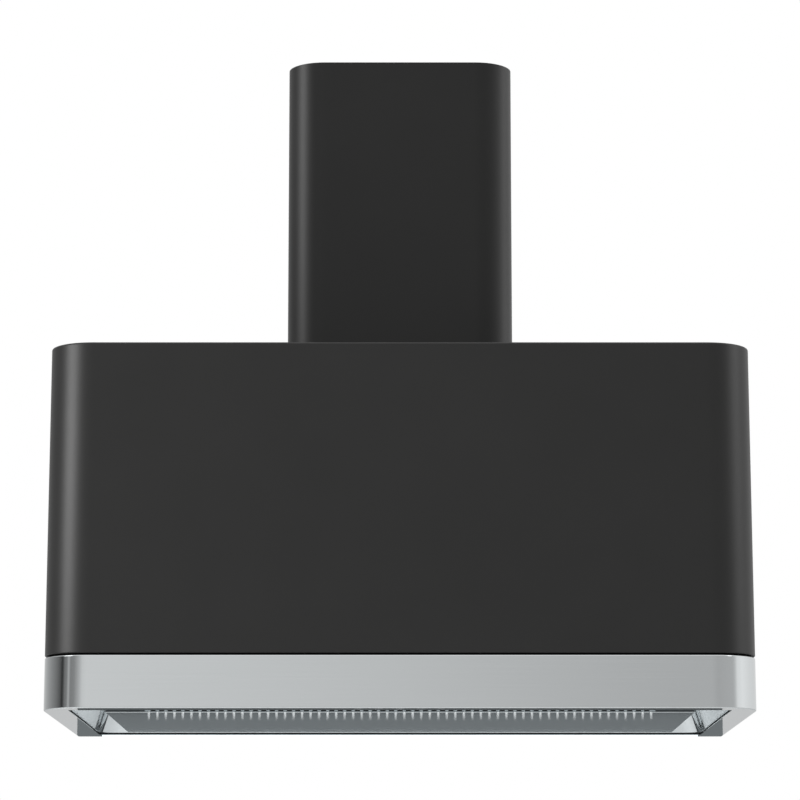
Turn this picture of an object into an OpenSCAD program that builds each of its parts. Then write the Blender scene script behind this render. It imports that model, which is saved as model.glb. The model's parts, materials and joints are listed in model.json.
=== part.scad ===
// Wall-mounted chimney range hood: a flared canopy with rounded front corners on a steel rim band,
// a hinged suction panel in the underside, baffle filters, a twin-inlet blower and a telescopic chimney.
// X runs left to right, Y from the room to the wall, Z up. The origin lies on the wall plane,
// midway between the two hanging holes of the back panel.

/* [Canopy] */
// Width of the canopy at its rim
rim_w = 900; // [600:1:1200]
// Depth of the canopy at its rim, front to wall
rim_d = 500; // [450:1:600]
// Width of the canopy at its top
top_w = 896; // [580:1:1180]
// Height of the canopy from rim to top plate
canopy_h = 465; // [440:1:560]
// Radius of the front corners, seen from above
corner_r = 58; // [20:1:90]
// Thickness of the canopy sheet
sheet = 1.5; // [1:0.1:2.5]
// Distance of the hanging holes below the canopy's top
hook_drop = 85; // [60:1:120]
// Distance between the hanging holes
hook_gap = 600; // [300:1:700]
// Radius of the hanging holes
hook_r = 6; // [4:0.5:8]
// Distance between the lower wall fixing holes
fixing_gap = 700; // [400:1:760]
// Radius of the lower wall fixing holes
fixing_r = 3.5; // [2.5:0.5:5]

/* [Rim band] */
// Height of the steel band
band_h = 67; // [55:1:90]
// Height of the dark seam between band and canopy
seam_h = 2.2; // [1:0.1:4]
// How far the seam lies behind the outer faces
seam_inset = 5; // [2:0.5:8]
// Width of the flat rim under the band
rim_face = 33; // [26:1:40]
// Width of the flanges that meet at the seam
flange_w = 16; // [12:1:20]

/* [Suction panel] */
// Width of the slot around the panel
slot_w = 43; // [35:1:50]
// Thickness of the panel sheet
panel_t = 1.5; // [1:0.1:2]
// Height of the panel's upturned edge
panel_edge_h = 11; // [8:1:14]
// How far the panel lies above the rim's lower face
panel_lift = 0.5; // [0:0.1:1]
// Number of ribs along the front edge
rib_count = 60; // [20:1:70]
// Distance between two ribs
rib_pitch = 10.8; // [8:0.1:10.8]
// Width of the slot between two ribs
rib_slot_w = 6.4; // [4:0.1:7]

/* [Air box] */
// Height of the filter deck above the rim
deck_h = 60; // [50:1:64]
// How far the lining leans inwards over its height
lining_lean = 20; // [10:1:24]
// Thickness of lining, deck and other inner sheets
inner_sheet = 1.2; // [0.8:0.1:2]
// Width of the deck beside the outer filters
deck_side = 17; // [12:1:40]
// Depth of the deck in front of and behind the filters
deck_end = 27; // [26:1:50]
// Thickness of one grease filter
filter_t = 14; // [10:1:18]
// Distance between two baffles of a filter
baffle_pitch = 22; // [18:1:30]

/* [Blower] */
// Outer radius of the impeller
wheel_r = 108; // [90:1:112]
// Length of the impeller along its axle
wheel_w = 190; // [150:1:200]
// Radius of the motor's shaft
shaft_r = 6; // [5:0.5:8]
// Radius of the motor
motor_r = 46; // [38:1:50]
// Number of impeller blades on each side
blade_count = 36; // [24:1:42]

/* [Outlet] */
// Outer radius of the outlet spigot
spigot_r = 75; // [60:1:75]
// Height of the outlet spigot above the canopy
spigot_h = 60; // [50:1:80]
// Wall of the outlet spigot
spigot_t = 2.5; // [2:0.1:4]
// Width of the tapered shoulder that the duct stops against
spigot_stop = 2; // [1:0.5:3]

/* [Chimney] */
// Width of the lower chimney cover
chimney_w = 304; // [260:1:340]
// Depth of the lower chimney cover
chimney_d = 280; // [240:1:320]
// Height of the lower chimney cover
chimney_h = 430; // [300:1:500]
// Radius of the cover's front corners
chimney_r = 50; // [20:1:60]
// Thickness of the chimney sheet
chimney_sheet = 1.2; // [0.8:0.1:1.5]
// Play between the two chimney covers
chimney_play = 0.8; // [0.5:0.1:1.5]

/* [Controls] */
// Number of push buttons
button_count = 5; // [3:1:5]
// Radius of a push button
button_r = 5.5; // [4.5:0.5:5.5]
// Distance between two push buttons
button_gap = 26; // [22:1:30]
// Play around a push button
button_play = 0.3; // [0.2:0.1:0.5]

/* [Hidden] */
$fn = 64;
cut = 1;                 // overrun of every cut
play = 0.3;              // gap between pieces that lie next to each other
pin_play = 0.05;         // radial play of a pin in its hole
screw_head_r = 4;
screw_head_h = 2.5;
black = [0.16, 0.16, 0.16];
steel = [0.74, 0.76, 0.77];
bright_steel = [0.82, 0.84, 0.85];
zinc = [0.62, 0.64, 0.66];
plastic = [0.12, 0.12, 0.13];

// Size of the flared canopy at a height above the rim, as a share of the rim's, and its width there
function share_at(z) = 1 + (top_w / rim_w - 1) * z / canopy_h;
function width_at(z) = rim_w * share_at(z);

hook_h = canopy_h - hook_drop;
shell_z = band_h + seam_h;             // lower edge of the painted shell
top_z = canopy_h - sheet;              // underside of the canopy's top plate
opening_w = rim_w - 2 * rim_face;
opening_d = rim_d - 2 * rim_face;
opening_y = -rim_d / 2;
lining_r = 12;
lining_z = sheet;
lining_h = deck_h - lining_z;
deck_w = opening_w - 2 * lining_lean;
deck_d = opening_d - 2 * lining_lean;
panel_w = opening_w - 2 * slot_w;
panel_d = opening_d - 2 * slot_w;
panel_front = opening_y - panel_d / 2;
panel_back = opening_y + panel_d / 2;
panel_top = panel_lift + panel_t;

// Everything below is drawn above the rim plane; this puts it in the wall frame
module from_rim() {
    translate([0, 0, -hook_h]) children();
}

// Outline seen from above: square at the wall, rounded at the front
module plan(w, d, r) {
    translate([-w / 2, r - d]) square([w, d - r]);
    translate([r - w / 2, -d]) square([w - 2 * r, 2 * r]);
    for (side = [-1, 1])
        translate([side * (w / 2 - r), r - d]) circle(r);
}

// Solid canopy form between two heights, set in from the outer faces; it narrows evenly towards
// the middle of the wall plane
module flared(z0, z1, inset) {
    translate([0, 0, z0])
        linear_extrude(height = z1 - z0, scale = share_at(z1) / share_at(z0), slices = 1)
            scale(share_at(z0)) plan(rim_w - 2 * inset, rim_d - inset, max(corner_r - inset, sheet));
}

// The room inside a canopy wall between two heights; its back lies at y = back
module flared_room(z0, z1, inset, back) {
    w = rim_w - 2 * inset;
    translate([0, 0, z0])
        linear_extrude(height = z1 - z0, scale = share_at(z1) / share_at(z0), slices = 1)
            scale(share_at(z0)) difference() {
                union() {
                    plan(w, rim_d - inset, max(corner_r - inset, sheet));
                    translate([-w / 2, -rim_d / 2]) square([w, rim_d / 2 + cut]);
                }
                translate([-rim_w / 2, back]) square([rim_w, 2 * cut - back]);
            }
}

outlet_y = -chimney_d / 2;             // centre of outlet, blower and chimney
hole_r = spigot_r + spigot_stop + play;
gland_r = 9;
gland_x = chimney_w / 2 - 2.4 * gland_r;
gland_y = outlet_y - chimney_d / 6;

// Painted sheet with a flange round its lower edge and a flat top, open at the wall
module hood_shell() {
    color(black) from_rim() difference() {
        flared(shell_z, canopy_h, 0);
        flared_room(shell_z + sheet, top_z, sheet, cut);
        flared_room(shell_z - cut, shell_z + sheet + cut, flange_w, cut);
        translate([0, outlet_y, top_z - cut]) cylinder(r = hole_r, h = sheet + 2 * cut);
        translate([gland_x, gland_y, top_z - cut]) cylinder(r = gland_r + play, h = sheet + 2 * cut);
    }
}

back_z = shell_z + sheet;
fixing_z = back_z + 2 * flange_w;

// Flat panel that closes the canopy at the wall and hangs on the wall hooks
module back_panel() {
    w0 = width_at(back_z) - 2 * sheet - 2 * play;
    w1 = width_at(top_z) - 2 * sheet - 2 * play;
    color(zinc) from_rim() difference() {
        rotate([90, 0, 0]) linear_extrude(height = sheet)
            polygon([[-w0 / 2, back_z], [w0 / 2, back_z], [w1 / 2, top_z], [-w1 / 2, top_z]]);
        for (side = [-1, 1]) {
            translate([side * hook_gap / 2, cut, hook_h]) rotate([90, 0, 0])
                cylinder(r = hook_r, h = sheet + 2 * cut);
            translate([side * fixing_gap / 2, cut, fixing_z]) rotate([90, 0, 0])
                cylinder(r = fixing_r, h = sheet + 2 * cut);
        }
    }
}

button_hole_r = button_r + button_play;

// Closed steel band: outer wall, back wall, upper flange and flat rim with its rectangular opening
module rim_band() {
    color(bright_steel) from_rim() difference() {
        flared(0, band_h, 0);
        flared_room(sheet, band_h - sheet, sheet, -sheet);
        flared_room(band_h - sheet - cut, band_h + cut, flange_w, -sheet);
        translate([-opening_w / 2, opening_y - opening_d / 2, -cut])
            cube([opening_w, opening_d, sheet + 2 * cut]);
        for (i = [0 : button_count - 1])
            translate([button_x(i), button_y, -cut]) cylinder(r = button_hole_r, h = sheet + 2 * cut);
    }
}

function button_x(i) = (i - (button_count - 1) / 2) * button_gap;

module seam_spacer() {
    color(plastic) from_rim() difference() {
        flared(band_h, shell_z, seam_inset);
        flared_room(band_h - cut, shell_z + cut, flange_w, cut);
    }
}

// Leaning steel lining between the rim opening and the filter deck
module lining_form(w, d) {
    w1 = w - 2 * lining_lean;
    d1 = d - 2 * lining_lean;
    linear_extrude(height = lining_h, scale = [w1 / w, d1 / d], slices = 1) rounded(w, d, lining_r);
}

module rounded(w, d, r) {
    square([w - 2 * r, d], center = true);
    square([w, d - 2 * r], center = true);
    for (x = [-1, 1], y = [-1, 1])
        translate([x * (w / 2 - r), y * (d / 2 - r)]) circle(r);
}

lining_out = rim_face / 4;

module lining() {
    color(steel) from_rim() translate([0, opening_y, lining_z]) difference() {
        union() {
            lining_form(opening_w + 2 * inner_sheet, opening_d + 2 * inner_sheet);
            linear_extrude(height = inner_sheet)
                rounded(opening_w + 2 * lining_out, opening_d + 2 * lining_out, lining_r);
        }
        lining_hollow();
    }
}

module lining_hollow() {
    over = lining_h + 2 * cut;
    lean = lining_lean * over / lining_h;
    w = opening_w + 2 * lining_lean * cut / lining_h;
    d = opening_d + 2 * lining_lean * cut / lining_h;
    translate([0, 0, -cut])
        linear_extrude(height = over, scale = [(w - 2 * lean) / w, (d - 2 * lean) / d], slices = 1)
            rounded(w, d, lining_r);
}

filter_rib = 8;
filter_w = (deck_w - 2 * deck_side - 2 * filter_rib) / 3;
filter_d = deck_d - 2 * deck_end;
filter_step = filter_w + filter_rib;
filter_play = 1;
filter_y = opening_y;
deck_top = deck_h + inner_sheet;
filter_z = deck_top - filter_t;        // a filter's upper face is level with the deck's

module filter_deck() {
    color(zinc) from_rim() difference() {
        translate([-deck_w / 2 - flange_w, opening_y - deck_d / 2 - flange_w, deck_h])
            cube([deck_w + 2 * flange_w, deck_d + 2 * flange_w, inner_sheet]);
        for (i = [-1, 0, 1])
            translate([i * filter_step, filter_y, deck_h + inner_sheet / 2])
                cube([filter_w + 2 * filter_play, filter_d + 2 * filter_play, inner_sheet + 2 * cut],
                    center = true);
    }
}

frame_w = 12;
frame_wall = 1;
baffle_t = 0.8;
baffle_share = 0.62;
baffle_h = filter_t / 2 - baffle_t;
tab_w = 30;
tab_reach = 6;
latch_w = 56;
latch_t = 2;
latch_reach = 5;                       // how far the bolt lies over the deck
latch_travel = 6;
latch_wall = 1;                        // wall left in front of the latch's slot
grip_w = 22;
grip_t = 3.2;
grip_h = 8;

// One baffle: a long channel, open side up or down
module baffle(up) {
    w = baffle_pitch * baffle_share;
    d = filter_d - 2 * frame_w + 2 * frame_wall;
    difference() {
        translate([-w / 2, -d / 2, 0]) cube([w, d, baffle_h]);
        translate([baffle_t - w / 2, -d / 2 - cut, up ? baffle_t : -cut])
            cube([w - 2 * baffle_t, d + 2 * cut, baffle_h - baffle_t + cut]);
    }
}

module grease_filter(i) {
    inner_w = filter_w - 2 * frame_w;
    inner_d = filter_d - 2 * frame_w;
    lower_n = floor(inner_w / baffle_pitch);
    color(steel) from_rim() translate([i * filter_step, filter_y, filter_z]) {
        difference() {
            translate([-filter_w / 2, -filter_d / 2, 0]) cube([filter_w, filter_d, filter_t]);
            translate([-inner_w / 2, -inner_d / 2, -cut]) cube([inner_w, inner_d, filter_t + 2 * cut]);
            // slot for the latch's grip, through the front bar
            translate([-grip_w / 2 - play, latch_wall - filter_d / 2, -cut])
                cube([grip_w + 2 * play, grip_t + latch_travel + 2 * play, filter_t + 2 * cut]);
        }
        // tabs that rest on the deck behind the opening
        for (side = [-1, 1])
            translate([side * inner_w / 3 - tab_w / 2, filter_d / 2 - tab_reach, filter_t])
                cube([tab_w, 2 * tab_reach, latch_t]);
        for (n = [0 : lower_n - 1])
            translate([(n - (lower_n - 1) / 2) * baffle_pitch, 0, 0]) baffle(true);
        for (n = [0 : lower_n - 2])
            translate([(n - (lower_n - 2) / 2) * baffle_pitch, 0, filter_t - baffle_h]) baffle(false);
    }
}

// Sliding bolt on top of the front bar, with a finger grip that reaches down through its slot
module latch(i) {
    bolt_d = latch_reach + frame_w - latch_wall;
    grip_y = latch_wall + play;
    color(plastic) from_rim() translate([i * filter_step, filter_y - filter_d / 2, deck_top + play]) {
        translate([-latch_w / 2, -latch_reach, 0]) cube([latch_w, bolt_d - latch_travel, latch_t]);
        translate([-grip_w / 2, grip_y, -play - filter_t - grip_h])
            cube([grip_w, grip_t, play + filter_t + grip_h + latch_t]);
    }
}

ear_w = 8;
ear_x = panel_w / 3;
hinge_r = 2.5;
pin_head = 1;                          // how far a hinge pin's head stands out, and its thickness
hinge_back = 13;                       // hinge axis behind the panel's back edge
hinge_z = panel_top + panel_edge_h;
hinge_y = panel_back + hinge_back;
ear_r = 5;
bracket_t = 3;
bracket_w = 14;

// Hinged panel with an upturned edge; the front edge is cut into upright ribs
module suction_panel() {
    color(steel) from_rim() {
        difference() {
            translate([-panel_w / 2, panel_front, panel_lift])
                cube([panel_w, panel_d, panel_t + panel_edge_h]);
            translate([panel_t - panel_w / 2, panel_front + panel_t, panel_top])
                cube([panel_w - 2 * panel_t, panel_d - 2 * panel_t, panel_edge_h + cut]);
            for (i = [0 : rib_count - 2])
                translate([rib_x(i) + (rib_pitch - rib_slot_w) / 2, panel_front - cut, panel_top])
                    cube([rib_slot_w, panel_t + 2 * cut, panel_edge_h - panel_t]);
        }
        for (side = [-1, 1]) ear(side);
    }
}

function rib_x(i) = (i - (rib_count - 1) / 2) * rib_pitch;

module ear(side) {
    translate([side * ear_x - ear_w / 2, 0, 0]) difference() {
        union() {
            translate([0, panel_back - panel_t, panel_top])
                cube([ear_w, hinge_back + panel_t, hinge_z - panel_top]);
            translate([0, hinge_y, hinge_z]) rotate([0, 90, 0]) cylinder(r = ear_r, h = ear_w);
        }
        translate([-cut, hinge_y, hinge_z]) rotate([0, 90, 0])
            cylinder(r = hinge_r + pin_play, h = ear_w + 2 * cut);
        // clears the swing below the axis
        translate([-cut, hinge_y - ear_r, panel_lift - cut]) cube([ear_w + 2 * cut, 2 * ear_r, panel_t]);
    }
}

// Two cheeks and a foot that hang from the deck and hold the hinge pin
module hinge_bracket(side) {
    inner = ear_w / 2 + play;
    color(zinc) from_rim() translate([side * ear_x, 0, 0]) difference() {
        union() {
            for (cheek = [-inner - bracket_t, inner])
                translate([cheek, hinge_y - bracket_w / 2, hinge_z]) {
                    cube([bracket_t, bracket_w, deck_h - hinge_z]);
                    translate([0, bracket_w / 2, 0]) rotate([0, 90, 0])
                        cylinder(r = bracket_w / 2, h = bracket_t);
                }
            translate([-inner - bracket_t, hinge_y - bracket_w / 2, deck_h - bracket_t])
                cube([2 * (inner + bracket_t), bracket_w, bracket_t]);
        }
        translate([-inner - bracket_t - cut, hinge_y, hinge_z]) rotate([0, 90, 0])
            cylinder(r = hinge_r + pin_play, h = 2 * (inner + bracket_t + cut));
    }
}

module hinge_pin(side) {
    l = ear_w + 2 * play + 2 * bracket_t;
    color(steel) from_rim() translate([side * ear_x, hinge_y, hinge_z]) rotate([0, 90, 0]) {
        translate([0, 0, -l / 2]) cylinder(r = hinge_r, h = l);
        for (end = [-l / 2 - pin_head, l / 2])
            translate([0, 0, end]) cylinder(r = hinge_r + pin_head, h = pin_head);
    }
}

magnet_w = 24;
magnet_d = 12;
magnet_h = 6;
magnet_y = panel_front + 2 * panel_t;
magnet_x = panel_w / 2 - 1.2 * magnet_w;
magnet_arm = 3;
magnet_arm_z = 2 * deck_h / 3 - magnet_arm;

// Cranked arm that carries a magnet from the deck's front strip down to the panel
module magnet(side) {
    foot_y = magnet_y - magnet_d - 2 * panel_t;
    color(plastic) from_rim() translate([side * magnet_x - magnet_w / 2, 0, 0]) {
        translate([0, magnet_y, panel_top + play]) cube([magnet_w, magnet_d, magnet_h]);
        translate([0, magnet_y + magnet_d - magnet_arm, panel_top + play])
            cube([magnet_w, magnet_arm, magnet_arm_z + magnet_arm - panel_top - play]);
        translate([0, foot_y, magnet_arm_z]) cube([magnet_w, magnet_y + magnet_d - foot_y, magnet_arm]);
        translate([0, foot_y, magnet_arm_z]) cube([magnet_w, magnet_arm, deck_h - magnet_arm_z]);
    }
}

housing_w = (button_count - 1) * button_gap + 2 * button_gap;
housing_h = 18;
housing_t = 1.6;
housing_y = play - (rim_d - sheet) * min(share_at(0), share_at(sheet + housing_h));
housing_end = opening_y - opening_d / 2 - lining_out - inner_sheet;
housing_d = housing_end - housing_y - housing_t;
board_z = sheet + housing_h - 3 * housing_t;
button_h = 5;
button_flange_h = 1.4;
button_rim = 1.2;
button_flange_r = button_r + button_rim;
button_travel = 1.5;
switch_r = 2;
button_y = housing_y + housing_t + housing_d / 2;

module control_housing() {
    color(plastic) from_rim() translate([-housing_w / 2, housing_y + housing_t, sheet]) difference() {
        cube([housing_w, housing_d, housing_h]);
        translate([housing_t, housing_t, -cut])
            cube([housing_w - 2 * housing_t, housing_d - 2 * housing_t, housing_h - housing_t + cut]);
    }
}

module control_board() {
    t = housing_t;
    color("darkgreen") from_rim() {
        translate([housing_t - housing_w / 2, housing_y + 2 * housing_t, board_z])
            cube([housing_w - 2 * housing_t, housing_d - 2 * housing_t, t]);
        for (i = [0 : button_count - 1])
            translate([button_x(i), button_y, button_h + button_travel + play])
                cylinder(r = switch_r, h = board_z - button_h - button_travel - play);
        for (x = [-1, 1])
            translate([x * (housing_w / 2 - 2 * t), housing_y + housing_d / 2 + t, board_z + t])
                cylinder(r = housing_t, h = 2 * housing_t - t);
    }
}

module button(i) {
    color(steel) from_rim() translate([button_x(i), button_y, 0]) {
        cylinder(r = button_r, h = button_h);
        translate([0, 0, sheet + play]) cylinder(r = button_flange_r, h = button_flange_h);
    }
}

lamp_gap = 13.2;                       // gap between the lamp strip and a magnet's arm
lamp_w = 2 * (magnet_x - magnet_w / 2 - lamp_gap);
lamp_d = 20;
lamp_h = 12;
lamp_wall = 1.2;
lamp_y = opening_y - deck_d / 2 + 2 * lamp_wall;
lens_t = 3;

module lamp_housing() {
    color(zinc) from_rim() translate([-lamp_w / 2, lamp_y, deck_h - lamp_h]) difference() {
        cube([lamp_w, lamp_d, lamp_h]);
        translate([lamp_wall, lamp_wall, -cut])
            cube([lamp_w - 2 * lamp_wall, lamp_d - 2 * lamp_wall, lamp_h - lamp_wall + cut]);
    }
}

module lamp_board() {
    n = 20;
    led = 3;
    led_t = 1;
    z = deck_h - lamp_wall - lamp_wall;
    color("ivory") from_rim() translate([0, lamp_y + lamp_d / 2, z]) {
        translate([lamp_wall - lamp_w / 2, lamp_wall - lamp_d / 2, 0])
            cube([lamp_w - 2 * lamp_wall, lamp_d - 2 * lamp_wall, lamp_wall]);
        for (i = [0 : n - 1])
            translate([(i - (n - 1) / 2) * lamp_w / n - led / 2, -led / 2, -led_t]) cube([led, led, led_t]);
    }
}

module lamp_lens() {
    color([0.95, 0.97, 1, 0.6]) from_rim()
        translate([lamp_wall - lamp_w / 2, lamp_y + lamp_wall, deck_h - lamp_h])
            cube([lamp_w - 2 * lamp_wall, lamp_d - 2 * lamp_wall, lens_t]);
}

blower_z = 2 * wheel_r + 2 * flange_w;  // height of the axle above the rim
scroll_gap = 10;
scroll_t = 2;
plate_t = 2;
scroll_w = wheel_w + 2 * scroll_gap;
inlet_r = wheel_r - 2 * scroll_gap;

module blower_housing() {
    color(zinc) from_rim() translate([0, outlet_y, blower_z]) difference() {
        translate([-scroll_w / 2 - scroll_t, 0, 0]) scroll_body(scroll_w + 2 * scroll_t, scroll_t);
        translate([-scroll_w / 2, 0, 0]) scroll_body(scroll_w, 0, cut);
        for (side = [-1, 1])
            translate([side * (scroll_w / 2 + scroll_t / 2), 0, 0]) rotate([0, 90, 0])
                cylinder(r = inlet_r + scroll_t + play, h = scroll_t + 2 * cut, center = true);
    }
}

// Drum and neck of the casing: round at the wheel, then straight up to the outlet's plate
module scroll_body(w, wall, over = 0) {
    r = wheel_r + scroll_gap + wall;
    rotate([0, 90, 0]) cylinder(r = r, h = w);
    translate([0, -r, 0]) cube([w, r + spigot_r + wall, top_z - plate_t - blower_z + over]);
}

module inlet_ring(side) {
    color(plastic) from_rim()
        translate([side * (scroll_w / 2 + scroll_t / 2), outlet_y, blower_z]) rotate([0, 90, 0])
            difference() {
                union() {
                    cylinder(r = inlet_r + scroll_t, h = 3 * scroll_t, center = true);
                    translate([0, 0, side * scroll_t - scroll_t / 2])
                        cylinder(r = inlet_r + 3 * scroll_t, h = scroll_t);
                }
                cylinder(r = inlet_r, h = 4 * scroll_t + 2 * cut, center = true);
            }
}

motor_gap = 12;
hub_r = 16;
hub_l = 26;
arm_w = 12;
arm_t = 3;
arm_turns = [30, 150, 270];
bracket_x = scroll_w / 2 + scroll_t;    // outer face of the casing, where the bracket sits
bracket_ring_r = inlet_r + 4 * scroll_t;
motor_end = bracket_x + arm_t;

// Ring round the inlet with three raised arms that carry the motor
module motor_bracket() {
    color(zinc) from_rim() translate([bracket_x, outlet_y, blower_z]) rotate([0, 90, 0]) {
        difference() {
            cylinder(r = bracket_ring_r + arm_w, h = 2 * arm_t);
            translate([0, 0, -cut]) cylinder(r = bracket_ring_r, h = 2 * arm_t + 2 * cut);
        }
        translate([0, 0, arm_t]) cylinder(r = motor_r / 2, h = arm_t);
        for (a = arm_turns)
            rotate([0, 0, a]) translate([0, -arm_w / 2, arm_t])
                cube([bracket_ring_r + arm_w / 2, arm_w, arm_t]);
    }
}

module motor() {
    rear = 2 * arm_t;
    color(steel) from_rim() translate([0, outlet_y, blower_z]) rotate([0, 90, 0]) {
        translate([0, 0, motor_gap + hub_l / 2])
            cylinder(r = motor_r, h = motor_end - motor_gap - hub_l / 2 - rear);
        translate([0, 0, motor_end - rear]) cylinder(r = motor_r / 2, h = rear);
        translate([0, 0, -hub_l]) cylinder(r = shaft_r, h = hub_l + motor_gap + hub_l / 2);
    }
}

blade_t = 1.2;
blade_d = 20;
blade_share = 0.9;
ring_t = 3;
blade_lean = 32;

module impeller() {
    color(plastic) from_rim() translate([0, outlet_y, blower_z]) rotate([0, 90, 0]) {
        difference() {
            union() {
                translate([0, 0, -ring_t / 2]) cylinder(r = wheel_r, h = ring_t);
                translate([0, 0, -hub_l / 2]) cylinder(r = hub_r, h = hub_l);
            }
            translate([0, 0, -hub_l]) cylinder(r = shaft_r + pin_play, h = 2 * hub_l);
        }
        for (end = [-wheel_w / 2, wheel_w / 2 - ring_t])
            translate([0, 0, end]) difference() {
                cylinder(r = wheel_r, h = ring_t);
                translate([0, 0, -cut]) cylinder(r = wheel_r - blade_d * 3 / 4, h = ring_t + 2 * cut);
            }
        for (i = [0 : blade_count - 1])
            rotate([0, 0, i * 360 / blade_count]) translate([wheel_r - blade_d, 0, ring_t / 3 - wheel_w / 2])
                rotate([0, 0, -blade_lean]) cube([blade_d * blade_share, blade_t, wheel_w - 2 * ring_t / 3]);
    }
}

rod_r = 3;
flap_t = 1.5;
flap_z = canopy_h + spigot_h / 4;
seat_h = 2;
flap_gap = 2;                          // air between a flap's edge and the spigot's bore
flap_r = spigot_r - spigot_t - flap_gap;
knuckle_r = rod_r + flap_t;
knuckle_l = 24;
knuckle_step = 29;

// Round outlet on the plate that closes the blower's neck, with a seat for the flaps
module outlet_spigot() {
    r = wheel_r + scroll_gap + scroll_t;
    plate_z = top_z - plate_t;
    stop_z = canopy_h + spigot_h / 20;
    seat_z = flap_z - rod_r - flap_t / 2 - play - seat_h;
    color(plastic) from_rim() translate([0, outlet_y, 0]) difference() {
        union() {
            translate([-scroll_w / 2 - scroll_t, -r, plate_z])
                cube([scroll_w + 2 * scroll_t, r + spigot_r + scroll_t, plate_t]);
            translate([0, 0, plate_z]) cylinder(r = spigot_r, h = canopy_h + spigot_h - plate_z);
            translate([0, 0, plate_z]) cylinder(r = spigot_r + spigot_stop, h = stop_z - plate_z);
            translate([0, 0, stop_z])
                cylinder(r1 = spigot_r + spigot_stop, r2 = spigot_r, h = spigot_stop);
        }
        translate([0, 0, plate_z - cut]) cylinder(r = flap_r - seat_h, h = spigot_h + 4 * plate_t);
        translate([0, 0, plate_z - cut]) cylinder(r = spigot_r - spigot_t, h = seat_z - plate_z + cut);
        translate([0, 0, seat_z + seat_h]) cylinder(r = spigot_r - spigot_t, h = spigot_h);
        translate([0, 0, flap_z]) rotate([0, 90, 0])
            cylinder(r = rod_r + pin_play, h = 2 * spigot_r + 2 * cut, center = true);
    }
}

module flap_rod() {
    color(steel) from_rim() translate([0, outlet_y, flap_z]) rotate([0, 90, 0])
        cylinder(r = rod_r, h = 2 * spigot_r - 2 * play, center = true);
}

// Half-round flap that lifts towards the middle; its knuckles share the rod with the other flap
module flap(side) {
    clear = knuckle_r + play;
    color(steel) from_rim() translate([0, outlet_y, flap_z]) difference() {
        union() {
            difference() {
                translate([0, 0, -flap_t / 2 - rod_r]) cylinder(r = flap_r, h = flap_t);
                translate([-spigot_r, side < 0 ? -clear : clear - 2 * spigot_r, -spigot_r])
                    cube([2 * spigot_r, 2 * spigot_r, 2 * spigot_r]);
            }
            for (i = [0, 1]) knuckle(side, i);
        }
        rotate([0, 90, 0]) cylinder(r = rod_r + pin_play, h = 2 * spigot_r, center = true);
    }
}

module knuckle(side, i) {
    x = (i * 2 - 1) * knuckle_step + side * (knuckle_l / 2 + play) - knuckle_l / 2;
    translate([x, 0, 0]) {
        rotate([0, 90, 0]) cylinder(r = knuckle_r, h = knuckle_l);
        translate([0, side > 0 ? 0 : -knuckle_r - 2 * play - flap_t, -flap_t / 2 - rod_r])
            cube([knuckle_l, knuckle_r + 2 * play + flap_t, flap_t]);
    }
}

box_w = 150;
box_d = 110;
box_h = 46;
box_t = 2;
box_z = canopy_h / 2;
box_x = 2 * flange_w - min(width_at(box_z), width_at(box_z + box_h + box_t)) / 2;

module electronics_box() {
    color(plastic) from_rim() translate([box_x, -sheet - box_d, box_z]) difference() {
        cube([box_w, box_d, box_h]);
        translate([box_t, box_t, box_t]) cube([box_w - 2 * box_t, box_d - 2 * box_t, box_h]);
    }
}

module electronics_cover() {
    color(plastic) from_rim() translate([box_x, -sheet - box_d, box_z + box_h])
        cube([box_w, box_d, box_t]);
}

module terminal_block() {
    l = 60;
    w = 18;
    n = 5;
    place = [box_x + box_w / 4, -sheet - box_d / 2, box_z + box_t];
    color("ivory") from_rim() translate(place) difference() {
        cube([l, w, w]);
        for (i = [0 : n - 1])
            translate([(i + 1 / 2) * l / n, w / 2, w / 2]) cylinder(r = w / 9, h = w);
    }
}

module cable_gland() {
    nut_h = 5;
    color(plastic) from_rim() translate([gland_x, gland_y, 0]) difference() {
        union() {
            translate([0, 0, top_z - nut_h]) cylinder(r = gland_r, h = 4 * nut_h);
            translate([0, 0, canopy_h]) cylinder(r = gland_r * 4 / 3, h = nut_h);
            translate([0, 0, top_z - nut_h]) cylinder(r = gland_r * 4 / 3, h = nut_h, $fn = 6);
        }
        translate([0, 0, top_z - nut_h - cut]) cylinder(r = gland_r / 2, h = 5 * nut_h);
    }
}

// Chimney cover: rounded front, open to the wall between two return flanges
module cover(w, d, r, h, flange) {
    linear_extrude(height = h) {
        difference() {
            plan(w, d, r);
            translate([0, cut]) plan(w - 2 * chimney_sheet, d - chimney_sheet + cut, r - chimney_sheet);
        }
        for (side = [-1, 1])
            translate([side * (w / 2 - flange / 2) - flange / 2, -chimney_sheet])
                square([flange, chimney_sheet]);
    }
}

cover_flange = 14;
bracket_h = 18;
upper_inset = chimney_sheet + chimney_play;
upper_z = canopy_h + bracket_h + 2 * play;
upper_h = chimney_h - bracket_h - 3 * play;

module chimney_lower() {
    color(black) from_rim() translate([0, 0, canopy_h])
        cover(chimney_w, chimney_d, chimney_r, chimney_h, cover_flange);
}

module chimney_upper() {
    color(black) from_rim() translate([0, -upper_inset, upper_z])
        cover(chimney_w - 2 * upper_inset, chimney_d - 2 * upper_inset, chimney_r - upper_inset, upper_h,
            cover_flange);
}

foot_w = 22;
angle_w = chimney_w - 2 * chimney_sheet - 2 * play;

// Two angles that tie the chimney cover to the canopy's top plate
module chimney_bracket() {
    color(zinc) from_rim()
        for (side = [-1, 1])
            translate([side * (angle_w - foot_w) / 2 - foot_w / 2, -chimney_d / 2, canopy_h]) {
                cube([foot_w, chimney_d / 3, inner_sheet]);
                translate([side > 0 ? foot_w - inner_sheet : 0, 0, 0])
                    cube([inner_sheet, chimney_d / 3, bracket_h]);
            }
}

// Plain round screw head on a flat face
module screw_down(x, y, z) {
    translate([x, y, z]) cylinder(r = screw_head_r, h = screw_head_h);
}

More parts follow.
